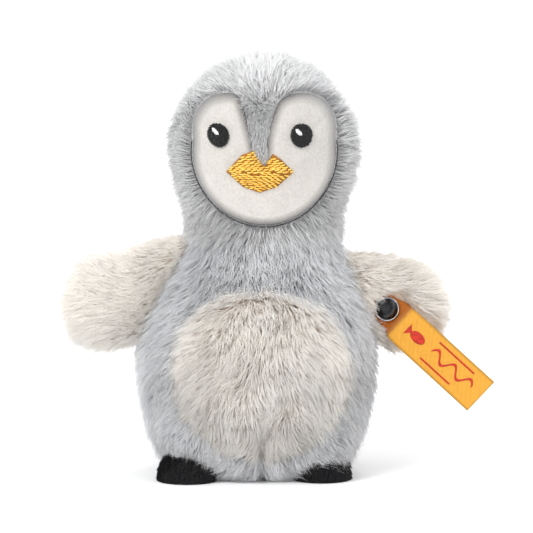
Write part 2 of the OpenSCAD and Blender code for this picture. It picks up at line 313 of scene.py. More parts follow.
def ripple(points, size, seed):
    """Smooth waves from about -1 to 1 over the points, about size across."""
    rng = np.random.default_rng(seed)
    total = np.zeros(len(points))
    for _ in range(5):
        direction = rng.normal(size=3)
        direction /= np.linalg.norm(direction)
        total += np.sin(points @ direction * TAU / size * rng.uniform(0.6, 1.4) + rng.uniform(0, TAU))
    return total / 3


# ---- Materials ----

def new_material(name, roughness, metallic=0.0, sheen=0.0, specular=0.5):
    material = bpy.data.materials.new(name)
    material.use_nodes = True
    shader = material.node_tree.nodes["Principled BSDF"]
    shader.inputs["Roughness"].default_value = roughness
    shader.inputs["Metallic"].default_value = metallic
    shader.inputs["Sheen Weight"].default_value = sheen
    shader.inputs["Specular IOR Level"].default_value = specular
    return material, material.node_tree.nodes, material.node_tree.links, shader


def mixed(nodes, links, blend, factor, first, second):
    """Mix node of two colours; each input is a socket or a value."""
    mix = nodes.new("ShaderNodeMix")
    mix.data_type = "RGBA"
    mix.blend_type = blend
    for socket, value in zip((mix.inputs[0], mix.inputs[6], mix.inputs[7]), (factor, first, second)):
        if isinstance(value, bpy.types.NodeSocket):
            links.new(value, socket)
        else:
            socket.default_value = value
    return mix.outputs[2]


def multiplied(nodes, links, colour, *factors):
    """Colour darkened by each factor in turn."""
    for factor in factors:
        colour = mixed(nodes, links, "MULTIPLY", 1.0, colour, factor)
    return colour


def channels(nodes, links, name):
    """Attribute node of a piece's values, and its first three as separate outputs."""
    attribute = nodes.new("ShaderNodeAttribute")
    attribute.attribute_name = name
    parts = nodes.new("ShaderNodeSeparateColor")
    links.new(attribute.outputs["Color"], parts.inputs[0])
    return attribute, parts.outputs


def noise(nodes, links, scale, detail=2.0, stretch=(1, 1, 1)):
    """Noise over the object, with scale in waves to the metre."""
    place = nodes.new("ShaderNodeTexCoord")
    mapping = nodes.new("ShaderNodeMapping")
    mapping.inputs["Scale"].default_value = stretch
    links.new(place.outputs["Object"], mapping.inputs["Vector"])
    texture = nodes.new("ShaderNodeTexNoise")
    texture.inputs["Scale"].default_value = scale
    texture.inputs["Detail"].default_value = detail
    links.new(mapping.outputs[0], texture.inputs["Vector"])
    return texture.outputs["Fac"]


def ramp(nodes, links, value, stops):
    """Colour ramp of (place, colour) stops."""
    node = nodes.new("ShaderNodeValToRGB")
    while len(node.color_ramp.elements) < len(stops):
        node.color_ramp.elements.new(0.5)
    for element, (place, colour) in zip(node.color_ramp.elements, stops):
        element.position = place
        element.color = colour
    links.new(value, node.inputs[0])
    return node.outputs[0]


def grey(value):
    return (value, value, value, 1.0)


def tones(nodes, links, value, *stops):
    """Grey ramp of (place, tone) stops."""
    return ramp(nodes, links, value, [(place, grey(tone)) for place, tone in stops])


def add_bump(nodes, links, shader, height, strength, distance):
    bump = nodes.new("ShaderNodeBump")
    bump.inputs["Strength"].default_value = strength
    bump.inputs["Distance"].default_value = distance
    links.new(height, bump.inputs["Height"])
    links.new(bump.outputs[0], shader.inputs["Normal"])


def pile_material(name, root, body, tip, contrast=0.28, sheen=0.25, roughness=0.7, specular=0.3):
    """Brushed pile: darker at its root, with each strand and lock its own shade.

    The attribute "pile" holds place along the strand, the strand's and the lock's chance
    value, and a shade that the piece gives to each strand, which in places is painted
    light and shade.
    """
    material, nodes, links, shader = new_material(name, roughness, sheen=sheen, specular=specular)
    pile, (along, strand_chance, lock_chance) = channels(nodes, links, "pile")
    colour = ramp(nodes, links, along, [(0.0, root), (0.55, body), (1.0, tip)])
    strand = tones(nodes, links, strand_chance, (0, 1 - contrast), (0.5, 1 - contrast / 5), (1, 1))
    lock = tones(nodes, links, lock_chance, (0, 0.92), (1, 1))
    mottle = tones(nodes, links, noise(nodes, links, 90), (0.3, 0.96), (0.7, 1))
    shade = nodes.new("ShaderNodeCombineColor")
    for socket in shade.inputs:
        links.new(pile.outputs["Alpha"], socket)
    links.new(multiplied(nodes, links, colour, strand, lock, mottle, shade.outputs[0]),
              shader.inputs["Base Color"])
    return material


def velour_material(name, light, edge):
    """Short velour with painted shade where it rolls into its seam.

    The attribute "pad" holds how far a point is from the seam, and its tone, a painted shade that darkens
    the upper face.
    """
    material, nodes, links, shader = new_material(name, 0.85, sheen=0.35, specular=0.2)
    inward, tone = channels(nodes, links, "pad")[1][:2]
    # painted shade: the velour goes to the darker edge colour close to its seam
    rolled = ramp(nodes, links, inward, [(0.0, edge), (0.5, light)])
    fibre = noise(nodes, links, 1500, 4.0)
    cloud = noise(nodes, links, 160, 3.0)
    # tone is painted shade, darker towards the top of the face
    colour = multiplied(nodes, links, rolled, tones(nodes, links, tone, (0, 0), (1, 1)),
                        tones(nodes, links, fibre, (0.3, 0.86), (0.65, 1)),
                        tones(nodes, links, cloud, (0.35, 0.93), (0.65, 1)))
    links.new(colour, shader.inputs["Base Color"])
    add_bump(nodes, links, shader, fibre, 0.5, 0.0004)
    return material


def thread_material(name, colour, dark, roughness=0.45, sheen=0.1):
    """Twisted embroidery thread."""
    material, nodes, links, shader = new_material(name, roughness, sheen=sheen, specular=0.4)
    twist = noise(nodes, links, 2600, 2.0, stretch=(0.35, 1, 1))
    links.new(ramp(nodes, links, twist, [(0.35, dark), (0.6, colour)]), shader.inputs["Base Color"])
    add_bump(nodes, links, shader, twist, 0.4, 0.0002)
    return material


def cloth_material(name, colour, dark, pitch):
    """Plain woven cloth with threads pitch apart, in millimetres."""
    material, nodes, links, shader = new_material(name, 0.85, sheen=0.2, specular=0.2)
    place = nodes.new("ShaderNodeTexCoord")
    weave = nodes.new("ShaderNodeTexChecker")
    weave.inputs["Scale"].default_value = 1 / (pitch * MM)
    links.new(place.outputs["Object"], weave.inputs["Vector"])
    uneven = noise(nodes, links, 400, 3.0)
    threads = mixed(nodes, links, "MIX", 0.5,
                    ramp(nodes, links, weave.outputs["Fac"], [(0, dark), (1, colour)]),
                    ramp(nodes, links, uneven, [(0.3, dark), (0.7, colour)]))
    links.new(threads, shader.inputs["Base Color"])
    add_bump(nodes, links, shader, weave.outputs["Fac"], 0.3, 0.0002)
    return material


def fibre_material(name, colour):
    """Loose polyester fill."""
    material, nodes, links, shader = new_material(name, 0.9, sheen=0.3)
    wisps = noise(nodes, links, 500, 6.0, stretch=(1, 3, 1))
    links.new(ramp(nodes, links, wisps, [(0.3, srgb(205, 205, 205)), (0.7, colour)]),
              shader.inputs["Base Color"])
    add_bump(nodes, links, shader, wisps, 0.8, 0.001)
    return material


def plastic_material(name, colour):
    """Moulded plastic with a slight haze."""
    material, nodes, links, shader = new_material(name, 0.35)
    haze = noise(nodes, links, 300, 3.0)
    links.new(ramp(nodes, links, haze, [(0.3, colour), (0.8, grey(0.9))]), shader.inputs["Base Color"])
    add_bump(nodes, links, shader, haze, 0.1, 0.0002)
    return material


def metal_material(name, colour, dark, roughness):
    """Plated metal with fine wear."""
    material, nodes, links, shader = new_material(name, roughness, metallic=1.0)
    wear = noise(nodes, links, 700, 5.0)
    links.new(ramp(nodes, links, wear, [(0.35, dark), (0.6, colour)]), shader.inputs["Base Color"])
    worn = nodes.new("ShaderNodeMapRange")
    worn.inputs["To Min"].default_value = roughness * 0.8
    worn.inputs["To Max"].default_value = roughness * 1.5
    links.new(wear, worn.inputs["Value"])
    links.new(worn.outputs[0], shader.inputs["Roughness"])
    add_bump(nodes, links, shader, wear, 0.05, 0.0001)
    return material


def ribbon_material(name, colour, dark):
    """Woven ribbon: fine twill ribs, darker edges, and painted shade on its fold at the rivet."""
    material, nodes, links, shader = new_material(name, 0.6, sheen=0.2, specular=0.3)
    place = nodes.new("ShaderNodeUVMap")
    place.uv_map = "OFBake"
    twill = nodes.new("ShaderNodeTexWave")
    twill.bands_direction = "DIAGONAL"
    twill.inputs["Scale"].default_value = 55
    twill.inputs["Distortion"].default_value = 0.4
    links.new(place.outputs[0], twill.inputs["Vector"])
    inward, clear_of_fold_shade = channels(nodes, links, "pad")[1][:2]
    woven = ramp(nodes, links, twill.outputs["Fac"], [(0.0, dark), (0.7, colour)])
    edge = tones(nodes, links, inward, (0, 0.62), (0.12, 0.8), (0.16, 1))
    mottle = tones(nodes, links, noise(nodes, links, 900, 3.0), (0.3, 0.9), (0.7, 1))
    # painted shade: the steep fold at the rivet is painted dark orange
    fold = ramp(nodes, links, clear_of_fold_shade, [(0.0, (0.66, 0.4, 0.24, 1)), (1.0, grey(1.0))])
    links.new(multiplied(nodes, links, woven, edge, mottle, fold), shader.inputs["Base Color"])
    add_bump(nodes, links, shader, twill.outputs["Fac"], 0.35, 0.0002)
    return material


def floor_material():
    material, nodes, links, shader = new_material("studio_floor", 0.9, specular=0.1)
    links.new(ramp(nodes, links, noise(nodes, links, 3), [(0.3, grey(0.93)), (0.7, grey(0.95))]),
              shader.inputs["Base Color"])
    return material


GREY_PILE = pile_material("grey_pile", srgb(182, 183, 186), srgb(227, 228, 230), srgb(250, 250, 251))
HEAD_PILE = pile_material("head_pile", srgb(206, 206, 207), srgb(248, 248, 248), srgb(255, 255, 255))
CREAM_PILE = pile_material("cream_pile", srgb(232, 214, 194), srgb(254, 250, 244), srgb(255, 253, 249),
                           contrast=0.12)
BLACK_PILE = pile_material("black_pile", srgb(8, 8, 10), srgb(18, 18, 21), srgb(34, 34, 38), sheen=0.1)
# the second colour is the painted shade where the velour rolls into its seam
FACE_VELOUR = velour_material("face_velour", srgb(217, 212, 206), srgb(128, 126, 124))
GOLD_THREAD = thread_material("gold_thread", srgb(255, 216, 104), srgb(240, 176, 60))
# painted shade: the beak's pad is a darker gold that stands for the shade in the gaps between its stitches
SHADED_GOLD_PAD = thread_material("shaded_gold_pad", srgb(170, 112, 32), srgb(120, 74, 18), roughness=0.8)
BLACK_THREAD = thread_material("black_thread", srgb(14, 14, 15), srgb(5, 5, 6))
WHITE_THREAD = thread_material("white_thread", srgb(250, 250, 250), srgb(215, 215, 218))
SEAM_THREAD = thread_material("seam_thread", srgb(84, 82, 84), srgb(40, 39, 41), roughness=0.7)
PRINT_THREAD = thread_material("print_thread", srgb(206, 44, 22), srgb(160, 30, 16), roughness=0.6)
RIBBON = ribbon_material("ribbon_weave", srgb(236, 174, 62), srgb(214, 140, 32))
SOLE_CLOTH = cloth_material("sole_cloth", srgb(28, 28, 30), srgb(12, 12, 13), 0.6)
BASE_CLOTH = cloth_material("base_cloth", srgb(190, 192, 197), srgb(150, 152, 158), 0.7)
BAG_CLOTH = cloth_material("bag_cloth", srgb(228, 222, 206), srgb(196, 188, 170), 0.8)
FILL = fibre_material("polyester_fill", srgb(246, 246, 244))
PELLETS = plastic_material("pellet_plastic", srgb(214, 220, 228))
CHROME = metal_material("rim_chrome", srgb(190, 190, 192), srgb(150, 150, 153), 0.18)
# painted reflection: the dome's chrome is coloured dark as if it mirrored a dark studio
DARK_REFLECTION_CHROME = metal_material("dark_reflection_chrome", srgb(66, 66, 68), srgb(40, 40, 42), 0.22)
STEEL = metal_material("washer_steel", srgb(170, 170, 174), srgb(130, 130, 134), 0.35)


# ---- Camera, light and floor ----

SIGHT = 7.5                     # camera's height above the level, in degrees
DISTANCE = 2.0                  # metres
VIEW_WIDTH = 0.1472
TARGET = Vector((0.0018, 0, 0.0566))


def aim(thing, place, target):
    thing.location = place
    thing.rotation_mode = "QUATERNION"
    thing.rotation_quaternion = (Vector(target) - Vector(place)).to_track_quat("-Z", "Y")


def add_camera():
    data = bpy.data.cameras.new("camera")
    camera = bpy.data.objects.new("camera", data)
    bpy.context.scene.collection.objects.link(camera)
    data.lens = data.sensor_width * DISTANCE / VIEW_WIDTH
    data.clip_start, data.clip_end = 0.01, 50
    tilt = math.radians(SIGHT)
    aim(camera, TARGET + DISTANCE * Vector((0, -math.cos(tilt), math.sin(tilt))), TARGET)
    bpy.context.scene.camera = camera


def add_light(name, place, size, power):
    data = bpy.data.lights.new(name, "AREA")
    data.shape = "DISK"
    data.size = size
    data.energy = power
    light = bpy.data.objects.new(name, data)
    bpy.context.scene.collection.objects.link(light)
    aim(light, place, (0, 0, 0.05))


def add_sun(name, place, angle, strength):
    """Large soft light that is as even over the far floor as it is over the near."""
    data = bpy.data.lights.new(name, "SUN")
    data.angle = math.radians(angle)
    data.energy = strength
    light = bpy.data.objects.new(name, data)
    bpy.context.scene.collection.objects.link(light)
    aim(light, place, (0, 0, 0))


def add_studio():
    world = bpy.data.worlds.new("studio")
    world.use_nodes = True
    backdrop = world.node_tree.nodes["Background"]
    backdrop.inputs["Color"].default_value = (0.98, 0.99, 1.0, 1.0)
    backdrop.inputs["Strength"].default_value = 0.85
    bpy.context.scene.world = world
    bpy.context.scene.view_settings.view_transform = "Standard"
    bpy.context.scene.cycles.diffuse_bounces = 12
    bpy.context.scene.cycles.max_bounces = 16
    add_sun("key", (-0.6, -0.55, 0.8), 35, 1.8)
    add_sun("fill", (0.8, -0.5, 0.6), 40, 0.6)
    add_light("back", (0.25, 0.7, 0.7), 0.4, 3.5)
    size = 6000
    corners = np.array([[-size, -size, 0], [size, -size, 0], [size, size, 0], [-size, size, 0]], float)
    floor = make_object("floor", corners, np.array([[0, 1, 2], [0, 2, 3]]), floor_material())


# ---- Stuffed forms ----

def torso_outline():
    """Radius and height of the body's fabric, from the base up to the neck."""
    turn = np.linspace(0, math.pi / 2, 30)
    low = np.stack([BASE_R + (BELLY_R - BASE_R) * np.sin(turn), BELLY_Z * (1 - np.cos(turn))], axis=1)
    height = np.linspace(BELLY_Z, NECK_Z, 40)[1:]
    share = ((height - BELLY_Z) / (NECK_Z - BELLY_Z)) ** FULLNESS
    high = np.stack([NECK_R + (BELLY_R - NECK_R) * (1 + np.cos(math.pi * share)) / 2, height], axis=1)
    return np.concatenate([low, high])


def head_radius(height, lift=0.0):
    """Radius of the head at a height, lift outside its fabric."""
    rise = np.clip((height - NECK_Z) / (CHEEK_Z - NECK_Z), 0, 1)
    low = NECK_R + (CHEEK_R - NECK_R) * (1 - np.cos(math.pi * rise)) / 2 + lift
    over = np.clip((height - CHEEK_Z) / (CROWN_Z - CHEEK_Z + lift), 0, 1)
    return np.where(height < CHEEK_Z, low, (CHEEK_R + lift) * np.sqrt(1 - over * over))


def head_outline():
    """Radius and height of the head's fabric, from the neck up to the crown."""
    low = np.linspace(NECK_Z, CHEEK_Z, 30)[:-1]
    turn = np.linspace(0, math.pi / 2, 40)
    high = CHEEK_Z + (CROWN_Z - CHEEK_Z) * np.sin(turn)
    return np.concatenate([
        np.stack([head_radius(low), low], axis=1),
        np.stack([np.maximum(CHEEK_R * np.cos(turn), 0.05), high], axis=1),
    ])


def ring_faces(rings, sides):
    """Triangles that join rings of points, one above the other."""
    row = np.arange(rings - 1)[:, None] * sides
    column, after = np.arange(sides), (np.arange(sides) + 1) % sides
    a, b = row + column, row + after
    c, d = a + sides, b + sides
    return np.concatenate([
        np.stack([a, b, d], axis=-1).reshape(-1, 3), np.stack([a, d, c], axis=-1).reshape(-1, 3)
    ])


def turned(outline, step=1.3, relief=None, place=None):
    """Points and triangles of an outline turned about the leaning axis, or upright at a place."""
    rows = resample(outline, step)
    columns = int(TAU * rows[:, 0].max() / step)
    turn = TAU * np.arange(columns) / columns
    radius, height = rows[:, :1], rows[:, 1:]
    aside, back = (lean(height), 0) if place is None else place
    points = np.stack([
        radius * np.sin(turn) + aside, back - radius * np.cos(turn), height + 0 * turn
    ], axis=-1).reshape(-1, 3)
    triangles = ring_faces(len(rows), columns)
    if relief:
        points = points + vertex_normals(points, triangles) * relief(points)[:, None]
    points[:, 2] = np.maximum(points[:, 2], 0.05)
    return points, triangles


def groove(distance, width, depth):
    """Dip along a seam, by the distance from it."""
    return -depth * np.exp(-(distance / width) ** 2)


MOUND = 5.2                     # the plush swells by this over a foot
MOUND_Z = 11
MOUND_R = 6.5


def over_foot(points):
    """1 on the mound of plush over a foot, 0 clear of it."""
    return sum(np.exp(-((points - [*foot, MOUND_Z]) ** 2).sum(axis=1) / MOUND_R ** 2)
               for foot in FEET.values())


def torso_relief(points):
    """Panels that swell between their seams, and the dart below the belly."""
    x, y, z = points.T
    front = smooth((-y - 2) / 8)
    away = np.hypot(x - BELLY_PANEL[0], z - BELLY_PANEL[1])
    swell = 1.6 * np.clip(1 - (away / BELLY_PANEL_R) ** 2, 0, 1) + groove(away - BELLY_PANEL_R, 1.8, 0.7)
    dart = groove(x - BELLY_PANEL[0], 1.8, 2.2) * smooth((27 - z) / 12)
    back = np.where(y > 0, groove(x - lean(z), 1.6, 0.8), 0)
    sides = groove(y, 1.6, 0.5) * smooth((60 - z) / 6)
    return front * (swell + dart) + MOUND * over_foot(points) + back + sides + 0.35 * ripple(points, 24, 5)


def head_relief(points):
    x, y, z = points.T
    gusset = groove(np.abs(x - FACE_X) - GUSSET_HALF, 1.5, 0.7) * np.where(y > -4, 1, smooth((z - 104) / 4))
    return gusset + 0.3 * ripple(points, 20, 6)


# ---- Pile ----

def scatter(rng, points, triangles, density):
    """Chance places on a skin, density to the square millimetre, with their normals."""
    corners = points[triangles]
    doubled = np.cross(corners[:, 1] - corners[:, 0], corners[:, 2] - corners[:, 0])
    area = np.linalg.norm(doubled, axis=1) / 2
    count = int(area.sum() * density)
    chosen = np.sort(rng.choice(len(triangles), size=count, p=area / area.sum()))
    first, second = rng.random((2, count, 1))
    fold = first + second > 1
    first, second = np.where(fold, 1 - first, first), np.where(fold, 1 - second, second)
    shares = np.concatenate([1 - first - second, first, second], axis=1)[..., None]
    normals = vertex_normals(points, triangles)[triangles[chosen]]
    return (corners[chosen] * shares).sum(axis=1), unit((normals * shares).sum(axis=1))


def tangent(directions, normals):
    """Directions laid along the skin."""
    return unit(directions - (directions * normals).sum(-1, keepdims=True) * normals)


STRAND_POINTS = 7               # two triangular rings and a tip
STRAND_TRIANGLES = 10
STRAND_R = 0.105


def grow(rng, roots, normals, comb, length, stand, radius, lock, pull, shade):
    """Strands of pile that lean along comb and gather into locks, with some that stray.

    stand is the share of its length by which a strand stands off the skin, lock is the number
    of strands in a lock, and pull is how far they close up to its middle one.
    """
    count = len(roots)
    swirl = np.stack([ripple(roots, 17, 31), ripple(roots, 17, 32), ripple(roots, 17, 33)], axis=1)
    comb = tangent(comb + 0.3 * swirl + 0.26 * rng.normal(size=(count, 3)), normals)
    middles = rng.choice(count, size=max(count // lock, 1), replace=False)
    tree = kdtree.KDTree(len(middles))
    for place, middle in enumerate(middles):
        tree.insert(roots[middle], place)
    tree.balance()
    home = np.array([tree.find(root)[1] for root in roots])
    chance = rng.random(len(middles))
    stray = (rng.random(count) < 0.14)[:, None]
    fray = rng.uniform(0.8, 1.08, count) * (0.88 + 0.2 * chance[home])
    length = (length * fray)[:, None] * np.where(stray, 1.2, 1)
    up = (stand * (0.85 + 0.3 * rng.random(len(middles))[home]))[:, None] * np.where(stray, 1.12, 1)
    over = np.sqrt(np.clip(1 - up * up, 0.05, 1))
    rise = np.clip(up * 1.25, 0, 0.97)
    elbow = roots + length * 0.5 * (rise * normals + np.sqrt(1 - rise * rise) * comb)
    tip = roots + length * (up * normals + over * comb)
    tip = tip + 0.05 * length * rng.normal(size=(count, 3))
    centre = middles[home]
    close = pull * rng.uniform(0.6, 1.0, (count, 1)) * np.where(stray, 0.2, 1)
    elbow = elbow + 0.35 * close * (elbow[centre] - elbow)
    tip = tip + close * (tip[centre] - tip)
    paths = np.stack([roots - 0.25 * normals, elbow, tip], axis=1)
    paths[..., 2] = np.maximum(paths[..., 2], 0.15)
    thick = radius * rng.uniform(0.8, 1.2, (count, 1)) * np.where(stray, 0.75, 1)
    radii = thick * np.array([[1.0, 0.8, 0.0]])
    points, triangles = tubes(paths, radii, sides=3, pointed=True)
    along = np.tile(np.array([0, 0, 0, 0.5, 0.5, 0.5, 1.0]), count)
    values = np.stack([along] + [
        np.repeat(value, STRAND_POINTS) for value in (rng.random(count), chance[home], shade)
    ], axis=1)
    return points, triangles, values


def lay_out(piece, strands, skin_triangles):
    """UV map that gives each strand its own cell and the skin a strip below them."""
    mesh = piece.data
    layer = mesh.uv_layers.new(name="OFBake")
    places = np.zeros((len(mesh.loops), 2))
    row = int(math.ceil(math.sqrt(strands)))
    number = np.arange(strands)
    corner = np.stack([number % row, number // row], axis=1) / row
    spread = np.array([[0.2, 0.2], [0.8, 0.2], [0.5, 0.8]]) / row
    cells = corner[:, None, None] + spread[None, None] + np.zeros((1, STRAND_TRIANGLES, 1, 1))
    cells = cells.reshape(-1, 2) * [1, 0.94] + [0, 0.06]
    skin = skin_triangles * 3
    places[:skin] = [0.5, 0.03]
    places[:skin] += np.tile(np.array([[-0.4, -0.02], [0.4, -0.02], [0, 0.02]]), (skin_triangles, 1))
    places[skin:] = cells
    layer.data.foreach_set("uv", places.astype(np.float32).ravel())


def plush_piece(name, skin, pile, material):
    """One object of a fabric panel: its closed backing with its pile rooted in it."""
    points, triangles = join([skin, pile[:2]])
    piece = make_object(name, points, triangles, material)
    under = np.tile([0.0, 0.5, 0.5, 1.0], (len(skin[0]), 1))
    add_values(piece, "pile", np.concatenate([under, pile[2]]))
    lay_out(piece, len(pile[0]) // STRAND_POINTS, len(skin[1]))
    flat = np.arange(len(triangles)) >= len(skin[1])
    piece.data.polygons.foreach_set("use_smooth", ~flat)
    return piece


def panel_skin(points, triangles, keep):
    """Closed backing of the triangles of a skin for which keep is true."""
    normals = vertex_normals(points, triangles)
    return close_sheet(points, points - BACKING * normals, triangles[keep])


# ---- Body ----

def torso_panel(points):
    x, y, z = points.T
    belly = np.hypot(x - BELLY_PANEL[0], z - BELLY_PANEL[1]) < BELLY_PANEL_R
    left = x > lean(z)
    return np.select(
        [(y < 0) & belly, (y < 0) & left, y < 0, left],
        ["belly_panel", "left_chest", "right_chest", "left_back_panel"], "right_back_panel")


PANELS_OF_BODY = ["left_chest", "right_chest", "belly_panel", "left_back_panel", "right_back_panel"]


def torso_comb(points, panel):
    """Body pile hangs down, and the belly's spreads from its middle in uneven patches."""
    x, y, z = points.T
    down = np.zeros_like(points)
    down[:, 2] = -1
    low = smooth((18 - z) / 14)
    down[:, 0] = (0.25 + 1.3 * low) * (x - lean(z)) / BELLY_R
    down[:, 1] = 1.3 * low * y / BELLY_R
    spread = down.copy()
    spread[:, 0] = 0.7 * (x - BELLY_PANEL[0]) / BELLY_PANEL_R
    spread[:, 0] += 0.5 * np.sign(x - BELLY_PANEL[0]) * smooth((20 - z) / 10)
    spread[:, 0] += 0.5 * ripple(points, 13, 41)
    spread[:, 2] += 0.3 * ripple(points, 10, 42)
    return np.where((panel == "belly_panel")[:, None], spread, down)


PILE = {
    "left_chest": (8.0, 6.4), "right_chest": (8.0, 6.4), "belly_panel": (9.4, 6.0),
    "left_back_panel": (6.2, 6.6), "right_back_panel": (6.2, 6.6),
    "crown_gusset": (8.0, 7.0), "left_head_panel": (7.5, 7.2), "right_head_panel": (7.5, 7.2),
    "wing": (14, 7.2), "foot": (16, 1.7),
}                               # strands to the square millimetre, and their length


def make_torso():
    points, triangles = turned(torso_outline(), relief=torso_relief)
    middle = torso_panel(points[triangles].mean(axis=1))
    for number, name in enumerate(PANELS_OF_BODY):
        rng = np.random.default_rng(100 + number)
        density, length = PILE[name]
        roots, normals = scatter(rng, points, triangles, density)
        mine = torso_panel(roots) == name
        roots, normals = roots[mine], normals[mine]
        x, y, z = roots.T
        comb = torso_comb(roots, torso_panel(roots))
        lengths = length * np.where(z > 60, 1 - 0.02 * (z - 60), 1) * (0.7 + 0.3 * smooth(z / 5))
        lengths = lengths * (1 - 0.5 * np.clip(over_foot(roots), 0, 1))
        stand = np.full(len(roots), 0.62)
        if name == "belly_panel":
            # painted light and shade: the belly's pile is painted lighter at its top, where the chest's
            # pile shades it, and darker towards its bottom
            shade = 0.84 + 0.11 * smooth((z - 22) / 24) + 0.03 * ripple(roots, 8, 43)
        else:
            # painted shade: the left chest's pile is painted darker low on its outer side, where the left
            # wing shades it
            shade = 0.99 - 0.16 * smooth((x - 12) / 12) * smooth((46 - z) / 16) * (y < 6)
        shade = shade + 0.05 * ripple(roots, 22, 9)
        pile = grow(rng, roots, normals, comb, lengths, stand, STRAND_R, 9, 0.3, shade)
        material = CREAM_PILE if name == "belly_panel" else GREY_PILE
        piece = plush_piece(name.replace("_panel", "") + "_plush",
                            panel_skin(points, triangles, middle == name), pile, material)
        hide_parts("chest_panel" if "chest" in name else name)
        bend_at_neck(piece)


def bend_at_neck(piece):
    """Bakes the piece's transform into its mesh."""
    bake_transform(piece)


# ---- Head ----

def arc(centre, radius, start, end):
    turn = np.radians(np.linspace(start, end, int(abs(end - start)) + 1))
    return np.array(centre) + radius * np.stack([np.cos(turn), np.sin(turn)], axis=1)


def face_outline():
    """Owl mask, as flat (x, z): two eye lobes over a round chin, parted by the crown's wedge."""
    middle = np.array([FACE_X, FACE_Z])
    left_lobe = np.array([FACE_X - LOBE_X, LOBE_Z])
    right_lobe = np.array([FACE_X + LOBE_X, LOBE_Z])
    wedge_left = resample([WEDGE_TIP] + WEDGE_LEFT, 0.5) + middle
    wedge_right = resample([WEDGE_TIP] + WEDGE_RIGHT, 0.5) + middle
    wedge = np.concatenate([wedge_left, wedge_right[::-1]])

    def in_circle(points, centre, radius):
        return np.hypot(*(points - centre).T) < radius

    def in_chin(points):
        return in_circle(points, middle, FACE_R) & (points[:, 1] < LOBE_Z)

    def covered(points):
        in_lobe = in_circle(points, left_lobe, LOBE_R) | in_circle(points, right_lobe, LOBE_R)
        return in_chin(points) | in_lobe

    up = wedge_left[covered(wedge_left)]
    down = wedge_right[covered(wedge_right)][::-1]
    left = arc(left_lobe, LOBE_R, 0, 270)
    left = left[~inside(wedge, left) & (left[:, 0] < up[-1, 0]) & ~in_chin(left)]
    chin = arc(middle, FACE_R, 160, 380)
    chin = chin[(chin[:, 1] < LOBE_Z) & ~in_circle(chin, left_lobe, LOBE_R)
                & ~in_circle(chin, right_lobe, LOBE_R)]
    right = arc(right_lobe, LOBE_R, -90, 180)
    right = right[~inside(wedge, right) & (right[:, 0] > down[0, 0]) & ~in_chin(right)]
    ring = resample(np.concatenate([up, left, chin, right, down[:-1]]), 0.5, closed=True)
    return sum(np.roll(ring, shift, axis=0) for shift in range(-3, 4)) / 7


FACE = face_outline()


def on_head(flat, lift):
    """Points on the front of the head at flat (x, z), lift outside its fabric."""
    x, z = flat.T
    radius = head_radius(z, lift)
    aside = x - lean(z)
    depth = np.sqrt(np.maximum(radius * radius - aside * aside, 0.5))
    return np.stack([x, -depth, z], axis=1)


def head_panel(points):
    x, y, z = points.T
    face = (y < 0) & inside(FACE, points[:, [0, 2]])
    crown = (np.abs(x - FACE_X) < GUSSET_HALF) & ((y > 0) | (z > WEDGE_LOW))
    return np.select(
        [face, crown, x > FACE_X], ["face", "crown_gusset", "left_head_panel"], "right_head_panel")


def head_comb(points):
    """Head pile runs out from the face, and hangs down at the back."""
    away = unit(points - np.array([FACE_X, -CHEEK_R, CHEEK_Z - 4]))
    away[:, 2] -= 0.25
    down = np.zeros_like(points)
    down[:, 2] = -1
    down[:, 1] = 0.3
    back = smooth((points[:, 1] + 6) / 20)[:, None]
    return (1 - back) * away + back * down


def make_head():
    points, triangles = turned(head_outline(), relief=head_relief)
    middles = points[triangles].mean(axis=1)
    middle = head_panel(middles)
    hidden = middle == "face"
    hidden[hidden] = edge_distance(FACE, middles[hidden][:, [0, 2]]) > 1.2
    aside = np.where(middles[:, 0] > FACE_X, "left_head_panel", "right_head_panel")
    wedge = (np.abs(middles[:, 0] - FACE_X) < 5) & (middles[:, 2] > WEDGE_LOW)
    middle = np.where(middle == "face", np.where(wedge, "crown_gusset", aside), middle)
    for number, name in enumerate(["crown_gusset", "left_head_panel", "right_head_panel"]):
        rng = np.random.default_rng(200 + number)
        density, length = PILE[name]
        roots, normals = scatter(rng, points, triangles, density)
        mine = head_panel(roots) == name
        roots, normals = roots[mine], normals[mine]
        x, y, z = roots.T
        comb = head_comb(roots)
        edge = edge_distance(FACE, roots[:, [0, 2]]) + np.where(y > -4, 20, 0)
        near = 1 - smooth(edge / 6)
        lengths = length * (1 - 0.25 * near)
        stand = 0.66 - 0.1 * near
        # painted shade: the pile is painted darker next to the face's seam, where it hangs over the face
        shade = 0.97 + 0.04 * ripple(roots, 26, 8) - 0.07 * near
        pale = np.maximum(smooth((z - 96) / 9), 0.4 * (name == "crown_gusset"))
        # painted light and shade: the head's sides are painted lighter on the left (+x), which the key lamp
        # leaves in shade, and darker on the right; pale makes the pile paler towards the top
        shade = shade * (0.81 + 0.005 * x + (0.21 - 0.005 * x) * pale)
        if name == "crown_gusset":
            brow = smooth((108 - z) / 9) * (y < -6)
            comb = (1 - brow)[:, None] * comb + brow[:, None] * np.array([[0.05, -0.2, -1.0]])
            lengths = lengths * (1 - 0.6 * brow)
            stand = stand * (1 - 0.25 * brow) + 0.3 * 4 * brow * (1 - brow)
            shade = shade * (1 - 0.12 * brow)
        pile = grow(rng, roots, normals, comb, lengths, stand, STRAND_R, 9, 0.32, shade)
        piece = plush_piece(name.replace("_panel", "").replace("_gusset", "") + "_plush",
                            panel_skin(points, triangles, (middle == name) & ~hidden), pile,
                            HEAD_PILE)
        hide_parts(name)
        bend_at_neck(piece)


# ---- Face ----

EYE_X = 11.4
EYE_Z = FACE_Z + 5.3
EYE_R = 3.2
BEAK_OUTLINE = np.array([[x * BEAK_HALF, MOUTH_Z + rise] for x, rise in BEAK])


